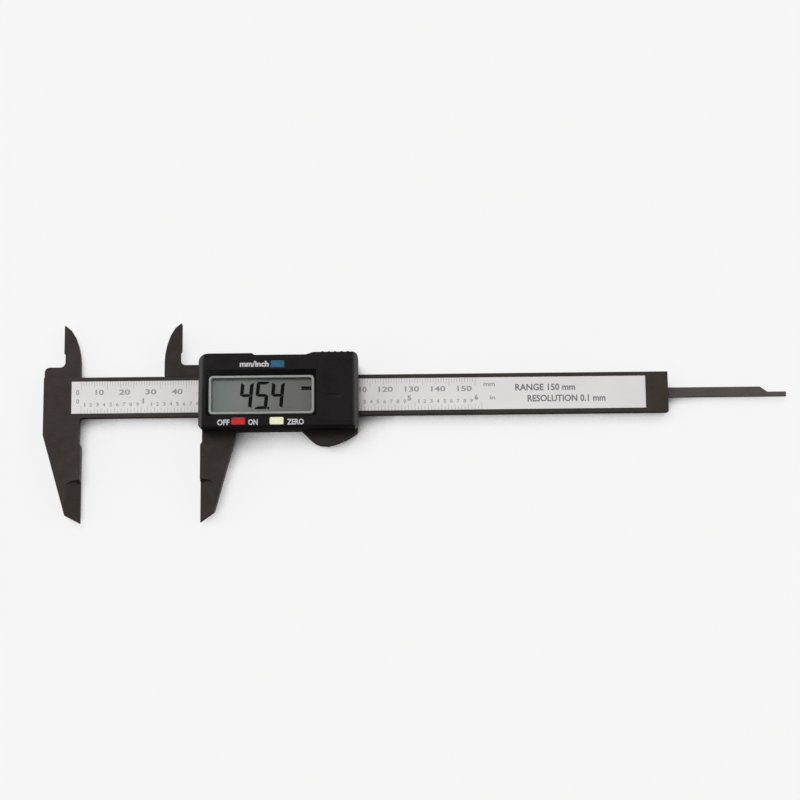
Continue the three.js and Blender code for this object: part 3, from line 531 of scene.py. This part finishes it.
def edge_groups(bm, wanted):
    """The wanted edges as groups that share vertices, each as its edges' keys, in a fixed order."""
    left = {e for e in bm.edges if wanted(e)}
    groups = []
    while left:
        group, todo = [], [left.pop()]
        while todo:
            edge = todo.pop()
            group.append(edge)
            for vert in edge.verts:
                for other in vert.link_edges:
                    if other in left:
                        left.discard(other)
                        todo.append(other)
        groups.append(sorted(edge_key(e) for e in group))
    return sorted(groups)


def edge_key(edge):
    """What an edge is known by after bm has been copied: the places of its ends."""
    return tuple(sorted(tuple(v.co) for v in edge.verts))


def is_sharp(edge):
    faces = edge.link_faces
    return len(faces) == 2 and faces[0].normal.angle(faces[1].normal, 0) > SHARP_ANGLE


def is_upright(edge):
    a, b = (v.co for v in edge.verts)
    return is_sharp(edge) and (a - b).xy.length < WELD and abs(a.z - b.z) > MIN_UPRIGHT


def is_level(edge):
    a, b = (v.co for v in edge.verts)
    return is_sharp(edge) and edge.is_convex and abs(a.z - b.z) < WELD


def round_group(bm, keys, width, segments, edge_slot):
    """bm with one group of edges rounded, at the first width that leaves every face whole."""
    for share in WIDTH_SHARES:
        trial = bm.copy()
        wanted = set(keys)
        edges = [e for e in trial.edges if edge_key(e) in wanted]
        bmesh.ops.bevel(
            trial, geom=edges, offset=width * share * MM, offset_type="OFFSET", segments=segments,
            profile=0.5, affect="EDGES", clamp_overlap=False, loop_slide=True, material=edge_slot,
        )
        if tessellates(trial):
            bm.free()
            return trial
        trial.free()
    return bm


def rounded(bm, width, segments, edge_slot):
    """bm with its upright corners and then its level edges rounded by width millimetres."""
    for wanted in (is_upright, is_level):
        for keys in edge_groups(bm, wanted):
            bm = round_group(bm, keys, width, segments, edge_slot)
    return bm


def carried(node, body, looks, rounding, edge_slot=-1, choose=None):
    """The CAD node's own shape with merged flats, rounded edges and these materials.

    The rounding is a width and a number of segments. Its material is the one numbered edge_slot, or
    its neighbour's if that is -1. choose gives a flat's material number from its centre and normal.
    """
    bm = bmesh.new()
    bm.from_mesh(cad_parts[node].data)
    bmesh.ops.remove_doubles(bm, verts=bm.verts, dist=WELD)
    bmesh.ops.dissolve_limit(
        bm, angle_limit=FLAT_ANGLE, use_dissolve_boundaries=False, verts=bm.verts, edges=bm.edges
    )
    for face in bm.faces:
        face.material_index = choose(face.calc_center_median(), face.normal) if choose else 0
    bm = rounded(bm, *rounding, edge_slot)
    mesh = bpy.data.meshes.new(node + "_shape")
    for material in looks:
        mesh.materials.append(material)
    bm.normal_update()
    for edge in bm.edges:
        edge.smooth = not is_sharp(edge)
    for face in bm.faces:
        face.smooth = True
    bm.to_mesh(mesh)
    bm.free()
    piece = link(node + "_shape", mesh)
    normals = piece.modifiers.new("normals", "WEIGHTED_NORMAL")
    normals.keep_sharp = True
    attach(piece, body)
    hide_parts(node)
    return piece


def paint(node, material):
    """A CAD node that stays as it is, with a better finish."""
    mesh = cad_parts[node].data
    mesh.materials.clear()
    mesh.materials.append(material)


HOUSING_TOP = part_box("front_housing")[1].z
PANEL_HEIGHT = HOUSING_TOP - 0.5 * MM
PANEL_TOLERANCE = 0.05 * MM
LEVEL_NORMAL = 0.99
BUTTONS = (
    ("power_button", "red_button", RED),
    ("zero_button", "yellow_button", YELLOW),
    ("unit_button", "blue_button", BLUE),
)


def housing_face(centre, normal):
    """1 for the sunk panel round the display, 0 for the rest of the housing."""
    sunk = abs(centre.z - PANEL_HEIGHT) < PANEL_TOLERANCE
    return 1 if sunk and normal.z > LEVEL_NORMAL else 0


carried("beam", "beam", [COMPOSITE, COMPOSITE_EDGE], FRAME_EDGE, 1)
carried("scale_label", "beam", [LABEL], THIN_EDGE)
carried("end_stop_plate", "beam", [SPRING_STEEL], THIN_WALL_EDGE)
carried("slider_frame", "slider", [COMPOSITE_SLIDER, COMPOSITE_EDGE], FRAME_EDGE, 1)
carried("lcd_bezel", "slider", [BEZEL], BEZEL_EDGE)
carried("lcd_window", "slider", [WINDOW], THIN_EDGE)
carried("depth_rod", "slider", [LIT_COMPOSITE_ROD], FRAME_EDGE)
carried(
    "front_housing", "slider", [HOUSING, PANEL, HOUSING_EDGE], THIN_WALL_EDGE, 2,
    housing_face,
)
carried("battery_cover", "battery_cover", [HOUSING, HOUSING_EDGE], THIN_WALL_EDGE, 1)
for button, slot, look in BUTTONS:
    carried(button, button, [look], BUTTON_EDGE)
for name in ("end_stop_screw_upper", "end_stop_screw_lower"):
    carried(name, "beam", [SCREW_STEEL], THIN_EDGE)
for name in ("front_upper", "front_lower", "rear_upper", "rear_lower"):
    carried("housing_screw_" + name, "slider", [SCREW_STEEL], THIN_EDGE)
carried("battery", "slider", [CELL_STEEL], CELL_EDGE)

paint("scale_board", BOARD)
paint("main_board", BOARD)
paint("gib_spring", SPRING_STEEL)
paint("lcd_glass", DISPLAY)
for name in ("upper", "lower"):
    paint("zebra_strip_" + name, ELASTOMER)
    paint("board_screw_" + name, SCREW_STEEL)
for name in ("power", "zero", "unit"):
    paint(name + "_switch_dome", SPRING_STEEL)
paint("chip_cover", EPOXY)
paint("filter_capacitor", CERAMIC)
paint("battery_contact_minus", SPRING_STEEL)
paint("battery_contact_plus", SPRING_STEEL)

# ---- Printing -------------------------------------------------------------------------------

INK = 0.02 * MM
SINK = 0.005 * MM
INK_WELD = WELD / 4
CURVE_STEPS = 3


class Print:
    """Flat lettering and marks of one ink on a surface at height z, joined in one mesh."""

    def __init__(self, z):
        self.bm = bmesh.new()
        self.low = z - SINK
        self.high = z + INK

    def bar(self, left, right, bottom, top):
        """An upright rectangle, in metres."""
        size = Vector((right - left, top - bottom, self.high - self.low))
        centre = Vector(((left + right) / 2, (bottom + top) / 2, (self.low + self.high) / 2))
        place = Matrix.Translation(centre) @ Matrix.Diagonal((*size, 1))
        bmesh.ops.create_cube(self.bm, size=1, matrix=place)

    def polygon(self, points):
        """A closed outline, anticlockwise, raised to the ink's thickness."""
        low = [self.bm.verts.new((x, y, self.low)) for x, y in points]
        high = [self.bm.verts.new((x, y, self.high)) for x, y in points]
        self.bm.faces.new(reversed(low))
        self.bm.faces.new(high)
        for i in range(len(points)):
            j = (i + 1) % len(points)
            self.bm.faces.new((low[i], low[j], high[j], high[i]))

    def text(self, words, left, bottom, width, height, weight):
        """Words fitted to a rectangle, in metres. A greater weight is bolder."""
        curve = bpy.data.curves.new("words", "FONT")
        curve.body = words
        curve.size = 1
        curve.offset = weight
        curve.resolution_u = CURVE_STEPS
        curve.extrude = 0.5  # half of a thickness of 1, which is then scaled
        maker = bpy.data.objects.new("words", curve)
        scene.collection.objects.link(maker)
        solid = maker.evaluated_get(bpy.context.evaluated_depsgraph_get())
        mesh = bpy.data.meshes.new_from_object(solid)
        low = [min(v.co[i] for v in mesh.vertices) for i in range(3)]
        high = [max(v.co[i] for v in mesh.vertices) for i in range(3)]
        scale = (width / (high[0] - low[0]), height / (high[1] - low[1]), self.high - self.low)
        move = Matrix.Translation((left, bottom, (self.low + self.high) / 2))
        mesh.transform(move @ Matrix.Diagonal((*scale, 1)) @ Matrix.Translation((-low[0], -low[1], 0)))
        self.bm.from_mesh(mesh)
        bpy.data.objects.remove(maker)
        bpy.data.curves.remove(curve)
        bpy.data.meshes.remove(mesh)

    def lines(self, rows):
        """Rows of words with their left, bottom, width and height in millimetres, and their weight."""
        for words, left, bottom, width, height, weight in rows:
            self.text(words, left * MM, bottom * MM, width * MM, height * MM, weight)

    def done(self, name, body, material):
        """The printing as a piece of its own."""
        mesh = bpy.data.meshes.new(name)
        bmesh.ops.remove_doubles(self.bm, verts=self.bm.verts, dist=INK_WELD)
        bmesh.ops.recalc_face_normals(self.bm, faces=self.bm.faces)
        self.bm.to_mesh(mesh)
        self.bm.free()
        mesh.materials.append(material)
        piece = link(name, mesh)
        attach(piece, body)
        return piece


LABEL_LOW, LABEL_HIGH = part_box("scale_label")
INCH = 25.4 * MM
TICK = 0.14 * MM
TICK_MARGIN = 0.15 * MM
LAST_MM = 150
TEN_MM_TICK = 3.0 * MM
FIVE_MM_TICK = 2.4 * MM
ONE_MM_TICK = 1.7 * MM
LAST_INCH = 6
INCH_TICK = 2.9 * MM
TENTH_TICK = 1.9 * MM
TWENTIETH_TICK = 1.3 * MM
DIGIT_SPACE = 0.18
ONE_WIDTH = 0.45
# Each row of numbers: how far a number ends before its mark, its bottom, its height, its weight, and
# a digit's width as a share of its height.
ZERO_MM_ROW = (0.7 * MM, 0.9 * MM, 2.1 * MM, 0.02, 0.62)
ZERO_INCH_ROW = (0.7 * MM, -2.4 * MM, 1.8 * MM, 0.02, 0.62)
TEN_MM_ROW = (1.35 * MM, 0.9 * MM, 2.1 * MM, 0.025, 0.92)
TENTH_ROW = (0.85 * MM, -3.5 * MM, 1.45 * MM, 0.02, 0.75)
INCH_ROW = (1.4 * MM, -2.5 * MM, 2.0 * MM, 0.05, 0.7)
UNIT_NAMES = (
    ("mm", 153.1, 2.7, 4.4, 1.3, 0.02),
    ("in", 155.4, -2.4, 2.1, 1.5, 0.02),
)
CAPTION = (
    ("RANGE 150 mm", 165.2, 0.9, 22.8, 2.6, 0.02),
    ("RESOLUTION 0.1 mm", 169.8, -3.4, 29.6, 2.6, 0.02),
)
LEGENDS = (
    ("OFF", 52.7, -12.55, 4.6, 2.2, 0.03),
    ("ON", 64.3, -12.55, 3.6, 2.2, 0.03),
    ("ZERO", 78.9, -12.55, 6.3, 2.2, 0.03),
    ("mm/inch", 61.1, 9.6, 10.9, 2.3, 0.035),
)


def number(sheet, value, mark, row):
    """A number that ends a little before its mark on the scale."""
    before, bottom, height, weight, wide = row
    words = str(value)
    share = sum(ONE_WIDTH if c == "1" else 1 for c in words) * wide + DIGIT_SPACE * (len(words) - 1)
    width = share * height
    sheet.text(words, mark - before - width, bottom, width, height, weight)


def millimetre_scale(sheet):
    top = LABEL_HIGH.y - TICK_MARGIN
    for step in range(LAST_MM + 1):
        x = step * MM
        length = TEN_MM_TICK if step % 10 == 0 else FIVE_MM_TICK if step % 5 == 0 else ONE_MM_TICK
        sheet.bar(x - TICK / 2, x + TICK / 2, top - length, top)


def inch_scale(sheet):
    bottom = LABEL_LOW.y + TICK_MARGIN
    for step in range(20 * LAST_INCH + 1):
        x = step * INCH / 20
        length = INCH_TICK if step % 20 == 0 else TENTH_TICK if step % 2 == 0 else TWENTIETH_TICK
        sheet.bar(x - TICK / 2, x + TICK / 2, bottom, bottom + length)


def scale_numbers(sheet):
    """The numbers of the whole millimetres and inches, and the names of the two units."""
    number(sheet, 0, 0, ZERO_MM_ROW)
    number(sheet, 0, 0, ZERO_INCH_ROW)
    for step in range(10, LAST_MM + 1, 10):
        number(sheet, step, step * MM, TEN_MM_ROW)
    sheet.lines(UNIT_NAMES)
    for step in range(1, LAST_INCH + 1):
        number(sheet, step, step * INCH, INCH_ROW)


def scale_tenths(sheet):
    for step in range(1, 10 * LAST_INCH):
        if step % 10:
            number(sheet, step % 10, step * INCH / 10, TENTH_ROW)


ticks = Print(LABEL_HIGH.z)
millimetre_scale(ticks)
inch_scale(ticks)
ticks.done("scale_ticks", "beam", TICK_INK)

numbers = Print(LABEL_HIGH.z)
scale_numbers(numbers)
numbers.done("scale_numbers", "beam", LABEL_INK)

tenths = Print(LABEL_HIGH.z)
scale_tenths(tenths)
tenths.done("scale_tenths", "beam", FAINT_INK)

caption = Print(LABEL_HIGH.z)
caption.lines(CAPTION)
caption.done("scale_caption", "beam", BOLD_INK)

legends = Print(HOUSING_TOP)
legends.lines(LEGENDS)
legends.done("housing_legends", "slider", LEGEND_INK)

# ---- Display --------------------------------------------------------------------------------

READING = "454"
DIGIT_HEIGHT = 10.5 * MM
DIGIT_SPAN = 4.8 * MM
DIGIT_BOTTOM = -6.3 * MM
DIGIT_LEFTS = (61.05 * MM, 66.95 * MM, 72.75 * MM)
SLANT = math.tan(math.radians(5.5))
UPRIGHT = 1.35 * MM
LEVEL_BAR = 1.1 * MM
SEGMENT_GAP = 0.06 * MM
SEGMENT_TRIM = 0.45 * MM
# A digit's segments: a at the top, b and c down the right, d at the bottom, f upper left, g across.
SEGMENTS = {"4": "fgbc", "5": "afgcd"}
POINT_LEFT = 71.35 * MM
POINT_RIGHT = 72.1 * MM
POINT_HEIGHT = 0.8 * MM
DISPLAY_UNIT = (("mm", 84.2, 0.8, 3.7, 1.5, 0.08),)
GHOST_LEFTS = (85.0 * MM, 86.2 * MM, 87.4 * MM)
GHOST_WIDTH = 0.5 * MM
GHOST_BOTTOM = -5.2 * MM
GHOST_TOP = -0.4 * MM


def segment_outline(which):
    """One segment of a digit, upright, with the digit's lower left corner at 0, 0."""
    width, height, gap = DIGIT_SPAN, DIGIT_HEIGHT, SEGMENT_GAP
    middle = height / 2
    if which in "ad":
        corner = SEGMENT_TRIM - gap
        points = [
            (0, corner), (corner, 0), (width - corner, 0), (width, corner),
            (width - UPRIGHT, LEVEL_BAR), (UPRIGHT, LEVEL_BAR),
        ]
        return points if which == "d" else [(x, height - y) for x, y in reversed(points)]
    if which == "g":
        low, high = middle - LEVEL_BAR / 2, middle + LEVEL_BAR / 2
        return [
            (gap, middle), (UPRIGHT, low), (width - UPRIGHT, low),
            (width - gap, middle), (width - UPRIGHT, high), (UPRIGHT, high),
        ]
    left = which == "f"
    outer, inner = (0, UPRIGHT) if left else (width, width - UPRIGHT)
    if which == "c":
        start, end = SEGMENT_TRIM, middle - gap
        points = [(outer, start), (inner, LEVEL_BAR + gap), (inner, end - LEVEL_BAR / 2), (outer, end)]
    else:
        start, end = middle + gap, height - SEGMENT_TRIM
        bar = height - LEVEL_BAR - gap
        points = [(outer, start), (inner, start + LEVEL_BAR / 2), (inner, bar), (outer, end)]
    return points[::-1] if left else points


def digit(sheet, value, left):
    """A digit that leans to the right about its middle height."""
    for which in SEGMENTS[value]:
        outline = segment_outline(which)
        leant = [(left + x + (y - DIGIT_HEIGHT / 2) * SLANT, DIGIT_BOTTOM + y) for x, y in outline]
        sheet.polygon(leant)


reading = Print(LCD_HIGH.z)
for value, left in zip(READING, DIGIT_LEFTS):
    digit(reading, value, left)
reading.bar(POINT_LEFT, POINT_RIGHT, DIGIT_BOTTOM, DIGIT_BOTTOM + POINT_HEIGHT)
reading.lines(DISPLAY_UNIT)
reading.done("display_reading", "slider", SEGMENT)

ghosts = Print(LCD_HIGH.z)
for left in GHOST_LEFTS:
    ghosts.bar(left, left + GHOST_WIDTH, GHOST_BOTTOM, GHOST_TOP)
ghosts.done("display_ghosts", "slider", GHOST)

# ---- Floor and light --------------------------------------------------------------------------

FLOOR_HALF = 2.5
FLOOR_GAP = 0.03 * MM
FLOOR_CELLS = 8
# How bright the tent is: from one lean along an axis to another, and the strengths there.
TENT_FAR = (-0.4, 0.9, 0.08, 0.44)
TENT_ENDS = (0.5, 0.95, 0, 1.9)
TENT_COLOUR = (1, 0.995, 0.985, 1)


def add_floor():
    z = CAD_BOX[0][2] - FLOOR_GAP
    bm = bmesh.new()
    bmesh.ops.create_grid(bm, x_segments=FLOOR_CELLS, y_segments=FLOOR_CELLS, size=FLOOR_HALF)
    mesh = bpy.data.meshes.new("studio_floor")
    bm.to_mesh(mesh)
    bm.free()
    mesh.materials.append(floor_look())
    floor = link("studio_floor", mesh)
    floor.location = (CAMERA_AIM.x, CAMERA_AIM.y, z)


def smooth_range(tree, source, values):
    """Source, between the first two values, as a smooth step between the last two."""
    node = tree.nodes.new("ShaderNodeMapRange")
    node.interpolation_type = "SMOOTHSTEP"
    for key, value in zip(RANGE_INPUTS, values):
        node.inputs[key].default_value = value
    tree.links.new(source, node.inputs["Value"])
    return node.outputs[0]


def add_world():
    """A dim white tent that brightens towards the far side of the object and to both ends."""
    world = bpy.data.worlds.new("studio")
    scene.world = world
    world.use_nodes = True
    tree = world.node_tree
    tree.nodes.clear()
    output = tree.nodes.new("ShaderNodeOutputWorld")
    background = tree.nodes.new("ShaderNodeBackground")
    place = tree.nodes.new("ShaderNodeTexCoord")
    split = tree.nodes.new("ShaderNodeSeparateXYZ")
    tree.links.new(place.outputs["Generated"], split.inputs[0])
    far = smooth_range(tree, split.outputs["Y"], TENT_FAR)
    along = tree.nodes.new("ShaderNodeMath")
    along.operation = "ABSOLUTE"
    tree.links.new(split.outputs["X"], along.inputs[0])
    ends = smooth_range(tree, along.outputs[0], TENT_ENDS)
    total = tree.nodes.new("ShaderNodeMath")
    total.operation = "ADD"
    tree.links.new(far, total.inputs[0])
    tree.links.new(ends, total.inputs[1])
    tree.links.new(total.outputs[0], background.inputs["Strength"])
    background.inputs["Color"].default_value = TENT_COLOUR
    tree.links.new(background.outputs[0], output.inputs["Surface"])


def add_sun(name, azimuth, elevation, strength, spread):
    """A soft lamp seen from the object at azimuth, anticlockwise from +X, and elevation, in degrees."""
    data = bpy.data.lights.new(name, "SUN")
    data.energy = strength
    data.angle = math.radians(spread)
    lamp = bpy.data.objects.new(name, data)
    a, e = math.radians(azimuth), math.radians(elevation)
    towards = Vector((math.cos(a) * math.cos(e), math.sin(a) * math.cos(e), math.sin(e)))
    lamp.rotation_euler = towards.to_track_quat("Z", "Y").to_euler()
    scene.collection.objects.link(lamp)


add_floor()
add_world()
add_sun("key", azimuth=120, elevation=62, strength=1.75, spread=30)
